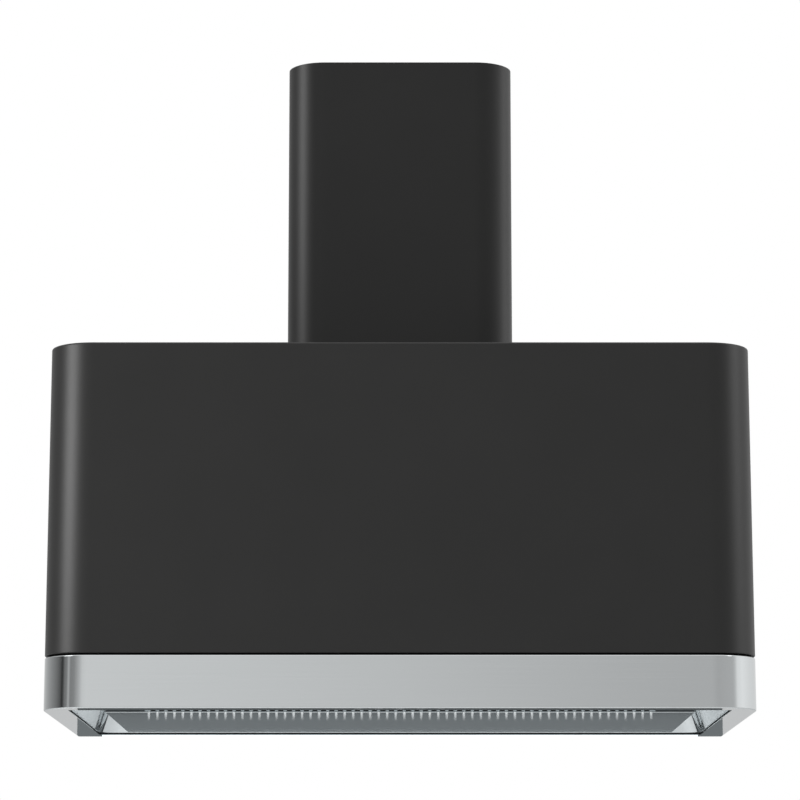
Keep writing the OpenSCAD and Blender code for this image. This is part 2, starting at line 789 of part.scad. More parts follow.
module deck_screws() {
    x = deck_w / 2 + flange_w / 2;
    y = deck_d / 2 + flange_w / 2;
    color(steel) from_rim()
        for (side = [-1, 1], end = [-1, 0, 1])
            screw_down(side * x, opening_y + end * y, deck_top);
}

module bracket_screws() {
    color(steel) from_rim()
        for (side = [-1, 1], n = [1, 2])
            screw_down(side * (angle_w - foot_w - inner_sheet) / 2, n * chimney_d / 9 - chimney_d / 2,
                canopy_h + inner_sheet);
}

module motor_screws() {
    color(steel) from_rim() translate([bracket_x + 2 * arm_t, outlet_y, blower_z]) rotate([0, 90, 0])
        for (a = arm_turns)
            rotate([0, 0, a]) screw_down(bracket_ring_r + arm_w / 2, 0, 0);
}

module spigot_screws() {
    r = spigot_r + flange_w / 2;
    color(steel) from_rim()
        for (a = [45 : 90 : 315])
            screw_down(r * cos(a), outlet_y + r * sin(a), canopy_h);
}

hood_shell();
back_panel();
rim_band();
seam_spacer();
lining();
filter_deck();
grease_filter(-1);  // filter_left
grease_filter(0);  // filter_centre
grease_filter(1);  // filter_right
latch(-1);  // latch_left
latch(0);  // latch_centre
latch(1);  // latch_right
suction_panel();
hinge_bracket(-1);  // hinge_bracket_left
hinge_bracket(1);  // hinge_bracket_right
hinge_pin(-1);  // hinge_pin_left
hinge_pin(1);  // hinge_pin_right
magnet(-1);  // magnet_left
magnet(1);  // magnet_right
control_housing();
control_board();
button(0);  // button_1
button(1);  // button_2
button(2);  // button_3
button(3);  // button_4
button(4);  // button_5
lamp_housing();
lamp_board();
lamp_lens();
blower_housing();
inlet_ring(-1);  // inlet_ring_left
inlet_ring(1);  // inlet_ring_right
motor_bracket();
motor();
impeller();
outlet_spigot();
flap_rod();
flap(-1);  // flap_front
flap(1);  // flap_rear
electronics_box();
electronics_cover();
terminal_block();
cable_gland();
chimney_lower();
chimney_upper();
chimney_bracket();
deck_screws();
bracket_screws();
motor_screws();
spigot_screws();
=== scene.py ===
import json
import math
import bmesh
import bpy
import numpy as np
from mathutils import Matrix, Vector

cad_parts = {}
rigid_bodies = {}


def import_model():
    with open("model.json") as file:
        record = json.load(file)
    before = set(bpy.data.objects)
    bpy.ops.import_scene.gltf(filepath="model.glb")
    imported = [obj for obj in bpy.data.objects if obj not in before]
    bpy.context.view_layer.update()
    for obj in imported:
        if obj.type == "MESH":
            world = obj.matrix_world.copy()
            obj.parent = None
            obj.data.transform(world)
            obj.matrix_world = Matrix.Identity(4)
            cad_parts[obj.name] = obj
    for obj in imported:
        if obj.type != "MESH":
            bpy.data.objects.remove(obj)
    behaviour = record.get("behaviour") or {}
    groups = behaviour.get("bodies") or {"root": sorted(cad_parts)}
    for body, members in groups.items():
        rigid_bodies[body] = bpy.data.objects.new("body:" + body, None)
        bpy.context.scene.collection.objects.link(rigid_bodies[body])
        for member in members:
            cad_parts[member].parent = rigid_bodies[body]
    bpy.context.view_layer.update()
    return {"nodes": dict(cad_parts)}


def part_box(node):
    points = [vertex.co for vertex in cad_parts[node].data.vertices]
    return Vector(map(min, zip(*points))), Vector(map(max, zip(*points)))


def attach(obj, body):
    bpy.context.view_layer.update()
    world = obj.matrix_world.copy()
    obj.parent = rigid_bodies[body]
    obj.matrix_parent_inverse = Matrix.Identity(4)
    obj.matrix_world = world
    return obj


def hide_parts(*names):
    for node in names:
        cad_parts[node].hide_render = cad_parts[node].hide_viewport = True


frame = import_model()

# Chimney range hood: painted canopy and chimney, polished rim band, suction panel with ribs and flutes.
# Every length is in metres; heights named "rise" are measured up from the rim's lower face.

nodes = frame["nodes"]
rimLow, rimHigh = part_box("rim_band")
rimZ = rimLow.z
scene = bpy.context.scene
scene.view_settings.view_transform = "Standard"

# Camera and light

view = {"place": (0.0, -4.5287, rimZ - 0.3211), "pitch": 10.005, "lens": 145.35, "sensor": 36.0,
        "clip": 200.0}


def makeCamera():
    data = bpy.data.cameras.new("photoCamera")
    data.sensor_width = view["sensor"]
    data.lens = view["lens"]
    data.clip_end = view["clip"]
    camera = bpy.data.objects.new("photoCamera", data)
    camera.location = view["place"]
    camera.rotation_euler = (math.radians(90.0 + view["pitch"]), 0.0, 0.0)
    scene.collection.objects.link(camera)
    scene.camera = camera


makeCamera()

studio = {
    "fill": 0.8,                          # level of the world on matt surfaces
    "ceiling": 1.1,                       # level overhead, as polished steel shows it
    "brightest": 1.5,
    "floorZ": rimZ - 1.1,
    "floorHalf": 40.0,
    "floorColour": (0.92, 0.93, 0.935),
    "ceilingFrom": 0.4,                   # the horizon's levels give way to the ceiling between these,
    "ceilingTo": 0.7,                     # as the upward part of the direction
    # azimuth in degrees, 0 towards the camera and -90 to the left, and the level seen there
    "round": [(-180, 0.80), (-145, 0.60), (-105, 0.34), (-88, 0.23), (-76, 0.13), (-70, 0.04), (-66, 0.10),
              (-62, 0.24), (-56, 0.28), (-51, 0.58), (-46, 0.30), (-36, 0.34), (-25, 0.56), (-15, 0.82),
              (-6, 0.88), (0, 0.75), (5, 0.60), (16, 0.55), (55, 0.59), (61, 0.70), (68, 1.0), (84, 1.1),
              (110, 0.98), (145, 0.85), (180, 0.80)],
}


def newNode(tree, kind, **settings):
    node = tree.nodes.new(kind)
    for key, value in settings.items():
        setattr(node, key, value)
    return node


def mathNode(tree, operation, first, second=None):
    node = newNode(tree, "ShaderNodeMath", operation=operation)
    for socket, value in zip(node.inputs, (first, second)):
        if value is None:
            continue
        if isinstance(value, (int, float)):
            socket.default_value = value
        else:
            tree.links.new(value, socket)
    return node.outputs[0]


def fillRamp(ramp, stops):
    ramp.interpolation = "LINEAR"
    while len(ramp.elements) < len(stops):
        ramp.elements.new(0.5)
    for element, (position, level) in zip(ramp.elements, stops):
        element.position = position
        element.color = (level, level, level, 1.0)


def makeWorld():
    # Plain fill for matt surfaces, white for the camera, and a studio round the horizon for reflections.
    world = bpy.data.worlds.new("studio")
    scene.world = world
    world.use_nodes = True
    tree = world.node_tree
    tree.nodes.clear()
    direction = newNode(tree, "ShaderNodeTexCoord")
    split = newNode(tree, "ShaderNodeSeparateXYZ")
    tree.links.new(direction.outputs["Generated"], split.inputs[0])
    forward = mathNode(tree, "MULTIPLY", split.outputs["Y"], -1.0)
    azimuth = mathNode(tree, "ARCTAN2", split.outputs["X"], forward)
    turn = mathNode(tree, "ADD", mathNode(tree, "DIVIDE", azimuth, 2.0 * math.pi), 0.5)
    ramp = newNode(tree, "ShaderNodeValToRGB")
    brightest = studio["brightest"]
    fillRamp(ramp.color_ramp, [((a + 180.0) / 360.0, level / brightest) for a, level in studio["round"]])
    tree.links.new(turn, ramp.inputs[0])
    overhead = newNode(tree, "ShaderNodeMapRange", interpolation_type="SMOOTHSTEP")
    overhead.inputs["From Min"].default_value = studio["ceilingFrom"]
    overhead.inputs["From Max"].default_value = studio["ceilingTo"]
    tree.links.new(split.outputs["Z"], overhead.inputs["Value"])
    reflected = newNode(tree, "ShaderNodeMix", data_type="RGBA")
    tree.links.new(overhead.outputs[0], reflected.inputs[0])
    tree.links.new(ramp.outputs[0], reflected.inputs[6])
    reflected.inputs[7].default_value = (studio["ceiling"] / brightest,) * 3 + (1.0,)
    path = newNode(tree, "ShaderNodeLightPath")
    fill = newNode(tree, "ShaderNodeBackground")
    fill.inputs["Strength"].default_value = studio["fill"]
    mirror = newNode(tree, "ShaderNodeBackground")
    mirror.inputs["Strength"].default_value = brightest
    tree.links.new(reflected.outputs[2], mirror.inputs["Color"])
    white = newNode(tree, "ShaderNodeBackground")
    white.inputs["Color"].default_value = (1.0, 1.0, 1.0, 1.0)
    first = newNode(tree, "ShaderNodeMixShader")
    tree.links.new(path.outputs["Is Glossy Ray"], first.inputs[0])
    tree.links.new(fill.outputs[0], first.inputs[1])
    tree.links.new(mirror.outputs[0], first.inputs[2])
    seen = mathNode(tree, "ADD", path.outputs["Is Camera Ray"], path.outputs["Is Transmission Ray"])
    second = newNode(tree, "ShaderNodeMixShader")
    tree.links.new(seen, second.inputs[0])
    tree.links.new(first.outputs[0], second.inputs[1])
    tree.links.new(white.outputs[0], second.inputs[2])
    output = newNode(tree, "ShaderNodeOutputWorld")
    tree.links.new(second.outputs[0], output.inputs["Surface"])


# each lamp lights only the pieces of its own group
lamps = {
    "left": {"place": (-2.40, -1.68, 0.42), "aim": (-0.4, -0.4, -0.05), "size": (1.15, 1.0), "watts": 50.0,
             "group": "rest"},
    "right": {"place": (3.6, -0.95, 1.15), "aim": (0.2, -0.3, 0.0), "size": (1.6, 2.2), "watts": 26.0,
              "group": "rest"},
    "top": {"place": (0.3, -1.9, 3.2), "aim": (0.0, -0.2, 0.0), "size": (2.4, 1.6), "watts": 22.0,
            "group": "rest"},
    "coverLeft": {"place": (-2.43, -0.90, 1.15), "aim": (-0.13, -0.26, 0.3), "size": (1.0, 1.0),
                  "watts": 27.0, "group": "chimney"},
    "coverRight": {"place": (3.0, 0.35, 1.0), "aim": (0.13, -0.26, 0.3), "size": (1.2, 1.6), "watts": 8.6,
                   "group": "chimney"},
    "edge": {"place": (-3.2, -2.2, 1.9), "aim": (-0.2, -0.3, 0.0), "size": (1.5, 1.5), "watts": 20.0,
             "group": "band"},
    "edgeRight": {"place": (3.0, -2.48, 1.95), "aim": (0.4, -0.4, -0.3), "size": (0.8, 1.5), "watts": 11.0,
                  "group": "band"},
}
groups = {name: bpy.data.collections.new(name + "Group") for name in ("rest", "chimney", "band")}


def makeLamps():
    for name, lamp in lamps.items():
        data = bpy.data.lights.new(name + "Lamp", "AREA")
        data.shape = "RECTANGLE"
        data.size, data.size_y = lamp["size"]
        data.energy = lamp["watts"]
        thing = bpy.data.objects.new(name + "Lamp", data)
        thing.location = lamp["place"]
        toward = Vector(lamp["aim"]) - Vector(lamp["place"])
        thing.rotation_euler = toward.to_track_quat("-Z", "Y").to_euler()
        thing.light_linking.receiver_collection = groups[lamp["group"]]
        scene.collection.objects.link(thing)


def fourCorners(name, corners):
    mesh = bpy.data.meshes.new(name)
    mesh.from_pydata(corners, [], [(0, 1, 2, 3)])
    thing = bpy.data.objects.new(name, mesh)
    scene.collection.objects.link(thing)
    return thing


def makeFloor():
    # Pale floor, clear from below so that a view from under it still shows the part.
    half = studio["floorHalf"]
    z = studio["floorZ"]
    floor = fourCorners("floor", [(-half, -half, z), (half, -half, z), (half, half, z), (-half, half, z)])
    material = bpy.data.materials.new("floorPale")
    material.use_nodes = True
    tree = material.node_tree
    tree.nodes.clear()
    matt = newNode(tree, "ShaderNodeBsdfDiffuse")
    matt.inputs["Color"].default_value = studio["floorColour"] + (1.0,)
    clear = newNode(tree, "ShaderNodeBsdfTransparent")
    side = newNode(tree, "ShaderNodeNewGeometry")
    mix = newNode(tree, "ShaderNodeMixShader")
    tree.links.new(side.outputs["Backfacing"], mix.inputs[0])
    tree.links.new(matt.outputs[0], mix.inputs[1])
    tree.links.new(clear.outputs[0], mix.inputs[2])
    output = newNode(tree, "ShaderNodeOutputMaterial")
    tree.links.new(mix.outputs[0], output.inputs["Surface"])
    floor.data.materials.append(material)


cardTint = (0.91, 1.0, 1.04, 1.0)
# heights of the back cards are measured down from the rim; "gap" keeps each card off the rim
backCard = {"y": 0.006, "low": 0.075, "step": 0.0355, "level": 0.18, "lowLevel": 0.07, "side": 0.452,
            "middle": 0.417, "gap": 0.0005, "whiteFrom": 0.004, "whiteTo": 0.0008, "white": 1.48,
            "greyTo": 0.0001, "grey": 0.95}
slotCard = {"inFront": 0.002, "low": rimZ + 0.0012, "high": rimZ + 0.02, "level": 0.05,
            "ribLow": rimZ + 0.0010, "ribHigh": rimZ + 0.0024, "ribLevel": 0.20}


def makeCard(name, left, right, y, low, high, level):
    # Upright grey card across the part; only polished steel shows it.
    thing = fourCorners(name, [(left, y, low), (right, y, low), (right, y, high), (left, y, high)])
    material = bpy.data.materials.new(name)
    material.use_nodes = True
    tree = material.node_tree
    tree.nodes.clear()
    glow = newNode(tree, "ShaderNodeEmission")
    glow.inputs["Color"].default_value = cardTint
    glow.inputs["Strength"].default_value = level
    output = newNode(tree, "ShaderNodeOutputMaterial")
    tree.links.new(glow.outputs[0], output.inputs["Surface"])
    thing.data.materials.append(material)
    thing.visible_camera = False
    thing.visible_diffuse = False
    thing.visible_transmission = False
    thing.visible_shadow = False


def makeBackCards():
    # Upright cards at the wall, below the rim. The middle one ends lower, and a white and a grey strip
    # above it light the rim's flat face along the wall.
    c = backCard
    for name, left, right, drop in (("cardLeft", -c["side"], -c["middle"], c["gap"]),
                                    ("cardMiddle", -c["middle"], c["middle"], c["whiteFrom"]),
                                    ("cardRight", c["middle"], c["side"], c["gap"])):
        makeCard(name, left, right, c["y"], rimZ - c["step"], rimZ - drop, c["level"])
    for name, low, high, level in (("cardWhite", c["whiteFrom"], c["whiteTo"], c["white"]),
                                   ("cardGrey", c["whiteTo"], c["greyTo"], c["grey"])):
        makeCard(name, -c["middle"], c["middle"], c["y"] + c["gap"], rimZ - low, rimZ - high, level)
    makeCard("cardLow", -c["side"], c["side"], c["y"], rimZ - c["low"], rimZ - c["step"], c["lowLevel"])


makeWorld()
makeLamps()
makeFloor()
makeBackCards()
print("studio ready")

# Finishes


def startMaterial(name):
    material = bpy.data.materials.new(name)
    material.use_nodes = True
    tree = material.node_tree
    shader = tree.nodes["Principled BSDF"]
    return material, tree, shader


def stretchedNoise(tree, scale, detail=4.0, roughness=0.5):
    # Noise in Object coordinates, with its own scale along X, Y and Z in cells per metre.
    coordinates = newNode(tree, "ShaderNodeTexCoord")
    mapping = newNode(tree, "ShaderNodeMapping")
    mapping.inputs["Scale"].default_value = scale
    noise = newNode(tree, "ShaderNodeTexNoise")
    noise.inputs["Scale"].default_value = 1.0
    noise.inputs["Detail"].default_value = detail
    noise.inputs["Roughness"].default_value = roughness
    tree.links.new(coordinates.outputs["Object"], mapping.inputs[0])
    tree.links.new(mapping.outputs[0], noise.inputs["Vector"])
    return noise.outputs["Fac"]


def spread(tree, value, low, high, fromLow=0.3, fromHigh=0.7):
    node = newNode(tree, "ShaderNodeMapRange")
    for name, number in (("From Min", fromLow), ("From Max", fromHigh), ("To Min", low), ("To Max", high)):
        node.inputs[name].default_value = number
    tree.links.new(value, node.inputs["Value"])
    return node.outputs[0]


def colourBetween(tree, factor, first, second):
    node = newNode(tree, "ShaderNodeMix", data_type="RGBA")
    tree.links.new(factor, node.inputs[0])
    node.inputs[6].default_value = tuple(first) + (1.0,)
    node.inputs[7].default_value = tuple(second) + (1.0,)
    return node.outputs[2]


def addBump(tree, shader, height, depth, strength=1.0):
    bump = newNode(tree, "ShaderNodeBump")
    bump.inputs["Strength"].default_value = strength
    bump.inputs["Distance"].default_value = depth
    tree.links.new(height, bump.inputs["Height"])
    tree.links.new(bump.outputs[0], shader.inputs["Normal"])


def paintedMetal(name, dark, light, roughness, grain, specular):
    # Powder coat: faint clouds in the colour, a fine orange-peel bump and a little change in gloss.
    material, tree, shader = startMaterial(name)
    clouds = stretchedNoise(tree, (9.0, 9.0, 9.0), 3.0)
    peel = stretchedNoise(tree, (grain, grain, grain), 2.0)
    colour = colourBetween(tree, spread(tree, clouds, 0.0, 1.0), dark, light)
    tree.links.new(colour, shader.inputs["Base Color"])
    tree.links.new(spread(tree, peel, roughness - 0.04, roughness + 0.04), shader.inputs["Roughness"])
    shader.inputs["Specular IOR Level"].default_value = specular
    addBump(tree, shader, peel, 0.00008, 0.5)
    return material


def brushedMetal(name, dark, light, roughness, scale, depth=0.00002):
    # Steel with fine lines drawn along one axis, in colour, gloss and bump.
    material, tree, shader = startMaterial(name)
    lines = stretchedNoise(tree, scale, 5.0, 0.6)
    colour = colourBetween(tree, spread(tree, lines, 0.0, 1.0), dark, light)
    tree.links.new(colour, shader.inputs["Base Color"])
    tree.links.new(spread(tree, lines, roughness[0], roughness[1]), shader.inputs["Roughness"])
    shader.inputs["Metallic"].default_value = 1.0
    addBump(tree, shader, lines, depth)
    return material


def spangledZinc(name):
    # Galvanised sheet: cells of zinc crystals that differ a little in tone and gloss.
    material, tree, shader = startMaterial(name)
    coordinates = newNode(tree, "ShaderNodeTexCoord")
    cells = newNode(tree, "ShaderNodeTexVoronoi")
    cells.inputs["Scale"].default_value = 130.0
    tree.links.new(coordinates.outputs["Object"], cells.inputs["Vector"])
    tone = newNode(tree, "ShaderNodeSeparateColor")
    tree.links.new(cells.outputs["Color"], tone.inputs[0])
    colour = colourBetween(tree, tone.outputs[0], (0.42, 0.44, 0.45), (0.60, 0.62, 0.63))
    tree.links.new(colour, shader.inputs["Base Color"])
    tree.links.new(spread(tree, tone.outputs[1], 0.30, 0.46, 0.0, 1.0), shader.inputs["Roughness"])
    shader.inputs["Metallic"].default_value = 1.0
    addBump(tree, shader, tone.outputs[0], 0.00002)
    return material


def mouldedPlastic(name, colour, roughness, specular=0.4):
    # Moulded plastic with a fine eroded grain.
    material, tree, shader = startMaterial(name)
    grain = stretchedNoise(tree, (1500.0, 1500.0, 1500.0), 2.0)
    clouds = stretchedNoise(tree, (25.0, 25.0, 25.0), 2.0)
    lighter = tuple(min(1.0, c * 1.18 + 0.004) for c in colour)
    clouded = colourBetween(tree, spread(tree, clouds, 0.0, 1.0), colour, lighter)
    tree.links.new(clouded, shader.inputs["Base Color"])
    tree.links.new(spread(tree, grain, roughness - 0.06, roughness + 0.06), shader.inputs["Roughness"])
    shader.inputs["Specular IOR Level"].default_value = specular
    addBump(tree, shader, grain, 0.00004, 0.6)
    return material


def lacqueredBoard(name):
    # Circuit board: dark green lacquer over faint copper tracks.
    material, tree, shader = startMaterial(name)
    coordinates = newNode(tree, "ShaderNodeTexCoord")
    tracks = newNode(tree, "ShaderNodeTexBrick")
    tracks.inputs["Scale"].default_value = 160.0
    tracks.inputs["Mortar Size"].default_value = 0.03
    tracks.inputs["Color1"].default_value = (0.012, 0.085, 0.035, 1.0)
    tracks.inputs["Color2"].default_value = (0.016, 0.11, 0.045, 1.0)
    tracks.inputs["Mortar"].default_value = (0.07, 0.22, 0.09, 1.0)
    tree.links.new(coordinates.outputs["Object"], tracks.inputs["Vector"])
    tree.links.new(tracks.outputs["Color"], shader.inputs["Base Color"])
    tree.links.new(spread(tree, tracks.outputs["Fac"], 0.25, 0.4, 0.0, 1.0), shader.inputs["Roughness"])
    addBump(tree, shader, tracks.outputs["Fac"], 0.00003)
    return material


def frostedLens(name):
    # Milky lamp cover with a fine frosting.
    material, tree, shader = startMaterial(name)
    frost = stretchedNoise(tree, (2200.0, 2200.0, 2200.0), 2.0)
    colour = colourBetween(tree, spread(tree, frost, 0.0, 1.0), (0.86, 0.89, 0.90), (0.93, 0.95, 0.96))
    tree.links.new(colour, shader.inputs["Base Color"])
    tree.links.new(spread(tree, frost, 0.30, 0.45), shader.inputs["Roughness"])
    shader.inputs["Transmission Weight"].default_value = 0.55
    shader.inputs["IOR"].default_value = 1.49
    addBump(tree, shader, frost, 0.00002)
    return material


finishes = {
    "paint": paintedMetal("satinAnthracite", (0.0102, 0.0102, 0.0099), (0.0118, 0.0117, 0.0114), 0.42,
                          1100.0, 0.34),
    "band": brushedMetal("polishedSteel", (0.61, 0.634, 0.642), (0.63, 0.652, 0.66), (0.06, 0.09),
                         (5.0, 900.0, 900.0), 0.000001),
    "lining": brushedMetal("satinSteel", (0.585, 0.62, 0.635), (0.63, 0.66, 0.672), (0.06, 0.10),
                           (300.0, 300.0, 8.0), 0.000003),
    "filter": brushedMetal("filterSteel", (0.46, 0.48, 0.49), (0.58, 0.60, 0.61), (0.24, 0.36),
                           (60.0, 6.0, 60.0)),
    "bright": brushedMetal("brightSteel", (0.66, 0.67, 0.68), (0.76, 0.77, 0.78), (0.12, 0.22),
                           (200.0, 200.0, 900.0)),
    "zinc": spangledZinc("galvanisedSheet"),
    "rubber": mouldedPlastic("seamStrip", (0.003, 0.003, 0.003), 0.7, 0.04),
    "black": mouldedPlastic("blackPlastic", (0.012, 0.012, 0.013), 0.5),
    "grey": mouldedPlastic("greyPlastic", (0.10, 0.105, 0.11), 0.5),
    "white": mouldedPlastic("ivoryPlastic", (0.62, 0.61, 0.57), 0.45),
    "board": lacqueredBoard("greenBoard"),
    "lens": frostedLens("frostedLens"),
}


def stripe(tree, value, low, high, soft):
    # 1 where the value lies between two limits, falling off softly outside them.
    rising = newNode(tree, "ShaderNodeMapRange", interpolation_type="SMOOTHSTEP")
    rising.inputs["From Min"].default_value = low - soft
    rising.inputs["From Max"].default_value = low
    tree.links.new(value, rising.inputs["Value"])
    falling = newNode(tree, "ShaderNodeMapRange", interpolation_type="SMOOTHSTEP")
    falling.inputs["From Min"].default_value = high + soft
    falling.inputs["From Max"].default_value = high
    tree.links.new(value, falling.inputs["Value"])
    return mathNode(tree, "MULTIPLY", rising.outputs[0], falling.outputs[0])


print("finishes ready")

# Surfaces


def meshObject(name, parts):
    # One mesh from several (points, faces) parts, with its doubled points merged.
    mesh = bpy.data.meshes.new(name)
    starts = np.cumsum([0] + [len(points) for points, faces in parts])
    points = np.vstack([points for points, faces in parts])
    faces = [tuple(face) for start, (p, part) in zip(starts, parts)
             for face in (np.asarray(part) + start).tolist()]
    mesh.from_pydata(points.tolist(), [], faces)
    work = bmesh.new()
    work.from_mesh(mesh)
    bmesh.ops.remove_doubles(work, verts=work.verts, dist=2e-6)
    bmesh.ops.dissolve_degenerate(work, edges=work.edges, dist=1e-7)
    work.to_mesh(mesh)
    work.free()
    thing = bpy.data.objects.new(name, mesh)
    scene.collection.objects.link(thing)
    return thing


def gridPart(grid, closed=False):
    # Points and quads of a grid whose first index runs along a path and whose second runs up a profile.
    count, rows = grid.shape[:2]
    index = np.arange(count * rows).reshape(count, rows)
    here = index if closed else index[:-1]
    ahead = np.roll(index, -1, axis=0) if closed else index[1:]
    quads = np.stack([here[:, :-1], ahead[:, :-1], ahead[:, 1:], here[:, 1:]], axis=-1)
    return grid.reshape(-1, 3), quads.reshape(-1, 4)


def settle(thing, angle=34.0):
    # Applies the piece's modifiers, then shades it smooth with its edges sharp past an angle.
    depsgraph = bpy.context.evaluated_depsgraph_get()
    mesh = bpy.data.meshes.new_from_object(thing.evaluated_get(depsgraph))
    thing.modifiers.clear()
    thing.data = mesh
    mesh.shade_smooth()
    mesh.set_sharp_from_angle(angle=math.radians(angle))


def thicken(thing, thickness, even=True):
    # Gives an open sheet its wall, away from the side that its faces look to.
    wall = thing.modifiers.new("wall", "SOLIDIFY")
    wall.thickness = thickness
    wall.offset = -1.0
    wall.use_even_offset = even
    settle(thing)


def drill(thing, places, radius, height):
    # Cuts upright round holes at a list of places.
    cutterMesh = bpy.data.meshes.new("cutter")
    work = bmesh.new()
    for place in places:
        matrix = Matrix.Translation(place)
        bmesh.ops.create_cone(work, cap_ends=True, segments=48, radius1=radius, radius2=radius, depth=height,
                              matrix=matrix)
    work.to_mesh(cutterMesh)
    work.free()
    cutter = bpy.data.objects.new("cutter", cutterMesh)
    scene.collection.objects.link(cutter)
    hole = thing.modifiers.new("hole", "BOOLEAN")
    hole.operation = "DIFFERENCE"
    hole.solver = "EXACT"
    hole.object = cutter
    settle(thing)
    bpy.data.objects.remove(cutter)


def dress(thing, finish, slot, body, *replaced):
    # Gives a piece its finish, the body that it rides and the nodes that it stands for; the slot argument is
    # not used.
    thing.data.materials.clear()
    thing.data.materials.append(finishes[finish])
    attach(thing, body)
    if replaced:
        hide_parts(*replaced)


def arc(centre, radius, start, steps):
    # Quarter circle, counterclockwise from a start angle: centre plus radius times cosine and sine.
    angle = np.linspace(start, start + math.pi / 2.0, steps + 1)
    return np.c_[centre[0] + radius * np.cos(angle), centre[1] + radius * np.sin(angle)]


def run(first, last, count, edge=0.002):
    # Points between two ends, the outer two close to them so that flat faces shade flat.
    first, last = np.asarray(first, float), np.asarray(last, float)
    share = min(edge / max(np.linalg.norm(last - first), 1e-9), 0.2)
    t = np.r_[share, np.linspace(share, 1.0 - share, count + 2)[1:-1], 1.0 - share][:, None]
    return first * (1.0 - t) + last * t


def outline(halfWidth, front, back, frontRadius, backRadius=0.0, ends="closed", flange=0.0, steps=18):
    # Plan seen from above, counterclockwise from the back left: straights joined by quarter circles.
    w, fr, br = halfWidth, frontRadius, backRadius
    frontLeft = arc((-w + fr, front + fr), fr, math.pi, steps)
    frontRight = arc((w - fr, front + fr), fr, 1.5 * math.pi, steps)
    backRight = arc((w - br, back - br), br, 0.0, steps)
    backLeft = arc((-w + br, back - br), br, 0.5 * math.pi, steps)
    if ends == "open":
        backLeft, backRight = np.array([[-w, back]]), np.array([[w, back]])
    parts = [backLeft, run(backLeft[-1], frontLeft[0], 4), frontLeft, run(frontLeft[-1], frontRight[0], 10),
             frontRight, run(frontRight[-1], backRight[0], 4), backRight]
    if ends == "closed":
        parts.append(run(backRight[-1], backLeft[0], 10))
    if ends == "flange":
        parts = [np.array([[-w + flange, back]])] + parts + [np.array([[w - flange, back]])]
    return np.vstack(parts)


def roundedProfile(corners, radii, steps=6, lead=0.4):
    # Polyline with a circular arc at each inner corner and a point just before and after each arc.
    corners = np.asarray(corners, float)
    points = [corners[0]]
    for before, corner, after, radius in zip(corners[:-2], corners[1:-1], corners[2:], radii):
        a = (corner - before) / np.linalg.norm(corner - before)
        b = (after - corner) / np.linalg.norm(after - corner)
        half = math.acos(np.clip(a @ b, -1.0, 1.0)) / 2.0
        inward = (b - a) / np.linalg.norm(b - a)
        centre = corner + inward * radius / math.cos(half)
        s = np.linspace(-half, half, steps + 1)[:, None]
        along = (a + b) / np.linalg.norm(a + b)
        bend = centre + radius * (-np.cos(s) * inward + np.sin(s) * along)
        reach = radius * math.tan(half)
        ahead = reach + lead * radius
        points += [corner - a * ahead, *bend, corner + b * ahead]
    points.append(corners[-1])
    return np.array(points)


# Canopy

canopy = {"corner": 0.058, "topShare": 896.0 / 900.0, "sheet": 0.0015, "flange": 0.016,
          "seamBend": 0.0010, "topBend": 0.0024, "topLap": 0.008,
          "ductHole": 0.0773, "glandHole": 0.0092, "drillDepth": 0.02}
shellLow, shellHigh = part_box("hood_shell")
canopyRise = shellHigh.z - rimZ
halfRim = rimHigh.x
depthRim = -rimLow.y


def shareAt(rise):
    # How much narrower the canopy is at a height, as a share of the rim.
    return 1.0 + (canopy["topShare"] - 1.0) * rise / canopyRise


def carried(profile, ends):
    # The canopy's outline carried up a profile of (inset, rise) points, narrowing evenly with height.
    rows = []
    for inset, rise in profile:
        back = -inset if ends == "closed" else 0.0
        radius = max(canopy["corner"] - inset, 0.001)
        plan = outline(halfRim - inset, -depthRim + inset, back, radius, ends=ends) * shareAt(rise)
        rows.append(np.c_[plan, np.full(len(plan), rimZ + rise)])
    return np.stack(rows, axis=1)


def discRing(edge, centre, radius):
    # Flat ring from an edge in to a circle: each point moves straight towards the circle's centre.
    angle = np.arctan2(edge[:, 1] - centre[1], edge[:, 0] - centre[0])
    circle = np.c_[centre[0] + radius * np.cos(angle), centre[1] + radius * np.sin(angle), edge[:, 2]]
    return np.stack([edge, circle], axis=1)


def makeCanopy():
    # The wall is the outline carried up its profile; the top is a ring from its edge in to the duct's hole.
    lowRise = shellLow.z - rimZ
    profile = roundedProfile([(canopy["flange"], lowRise), (0.0, lowRise), (0.0, canopyRise),
                              (canopy["topLap"], canopyRise)], (canopy["seamBend"], canopy["topBend"]))
    wall = carried(profile, "open")
    edge = wall[:, -1]
    back = np.linspace(edge[-1], edge[0], 24)[1:-1]
    ring = np.vstack([edge, back])
    rodLow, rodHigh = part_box("flap_rod")            # the rod lies across the middle of the duct
    plate = discRing(ring, (0.0, (rodLow.y + rodHigh.y) / 2.0), canopy["ductHole"])
    thing = meshObject("canopyShell", [gridPart(wall), gridPart(plate, closed=True)])
    thicken(thing, canopy["sheet"])
    glandLow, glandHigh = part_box("cable_gland")
    gland = ((glandLow.x + glandHigh.x) / 2.0, (glandLow.y + glandHigh.y) / 2.0, shellHigh.z)
    drill(thing, [gland], canopy["glandHole"], canopy["drillDepth"])
    dress(thing, "paint", "black_paint", "canopy", "hood_shell")


makeCanopy()
print("canopy ready")

# Rim band

band = {"sheet": 0.0015, "flange": 0.016, "lowerBend": 0.0014, "upperBend": 0.0019, "lap": 0.006,
        "rim": 0.033, "buttons": 5, "buttonHole": 0.0058, "drillDepth": 0.012}
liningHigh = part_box("lining")[1]
panelLow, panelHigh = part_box("suction_panel")
opening = {"halfWidth": halfRim - band["rim"], "front": -depthRim + band["rim"], "back": -band["rim"]}


